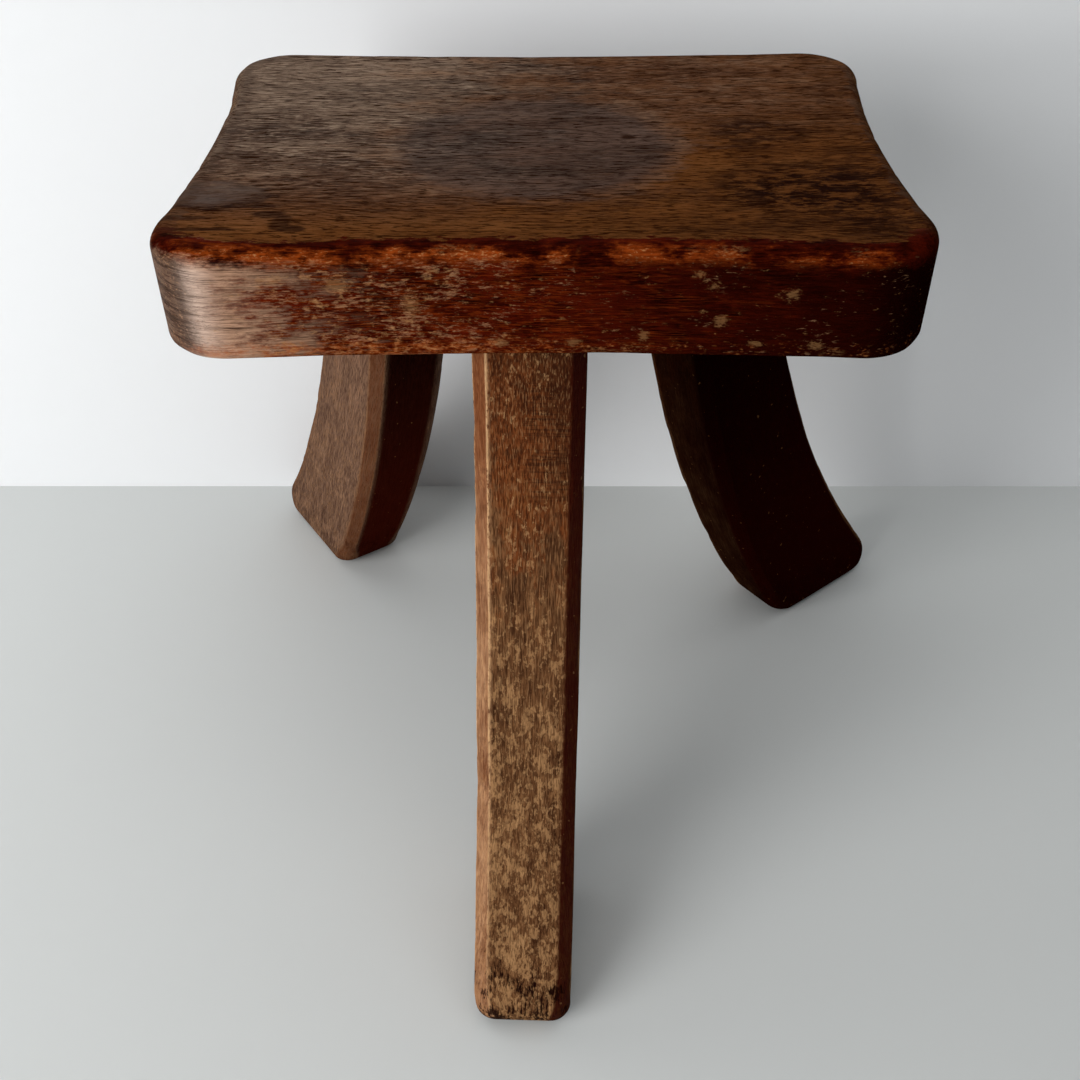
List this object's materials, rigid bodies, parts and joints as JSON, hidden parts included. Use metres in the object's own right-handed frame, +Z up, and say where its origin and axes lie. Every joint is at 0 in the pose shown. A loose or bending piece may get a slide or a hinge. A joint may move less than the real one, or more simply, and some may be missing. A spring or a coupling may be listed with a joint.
{
  "type": "stool",
  "caption": "Low rustic oak stool: a thick plank seat with hollow-curved sides and rounded corners on flaring sabre-curved legs with bevelled edges, dark stained and worn.",
  "frame": {"origin": "on the floor, in the middle of the rectangle that the whole stool covers", "axes": "+Z up, -Y towards the single front leg, +X to the right seen from that side, along the seat's length"},
  "size_m": [0.3952, 0.4244, 0.341],
  "materials": {
    "stained_oak_seat": "dark stain under worn satin wax, edges rubbed to lighter orange brown",
    "stained_oak_leg": "dark stain under worn satin wax, scuffed to bare tan wood lower down",
    "beech_dowel": "plain unfinished, glued in"
  },
  "bodies": {
    "root": {"seat": "stained_oak_seat", "front_leg": "stained_oak_leg", "right_rear_leg": "stained_oak_leg", "left_rear_leg": "stained_oak_leg", "front_leg_inner_dowel": "beech_dowel", "front_leg_outer_dowel": "beech_dowel", "right_rear_leg_inner_dowel": "beech_dowel", "right_rear_leg_outer_dowel": "beech_dowel", "left_rear_leg_inner_dowel": "beech_dowel", "left_rear_leg_outer_dowel": "beech_dowel"}
  },
  "joints": []
}
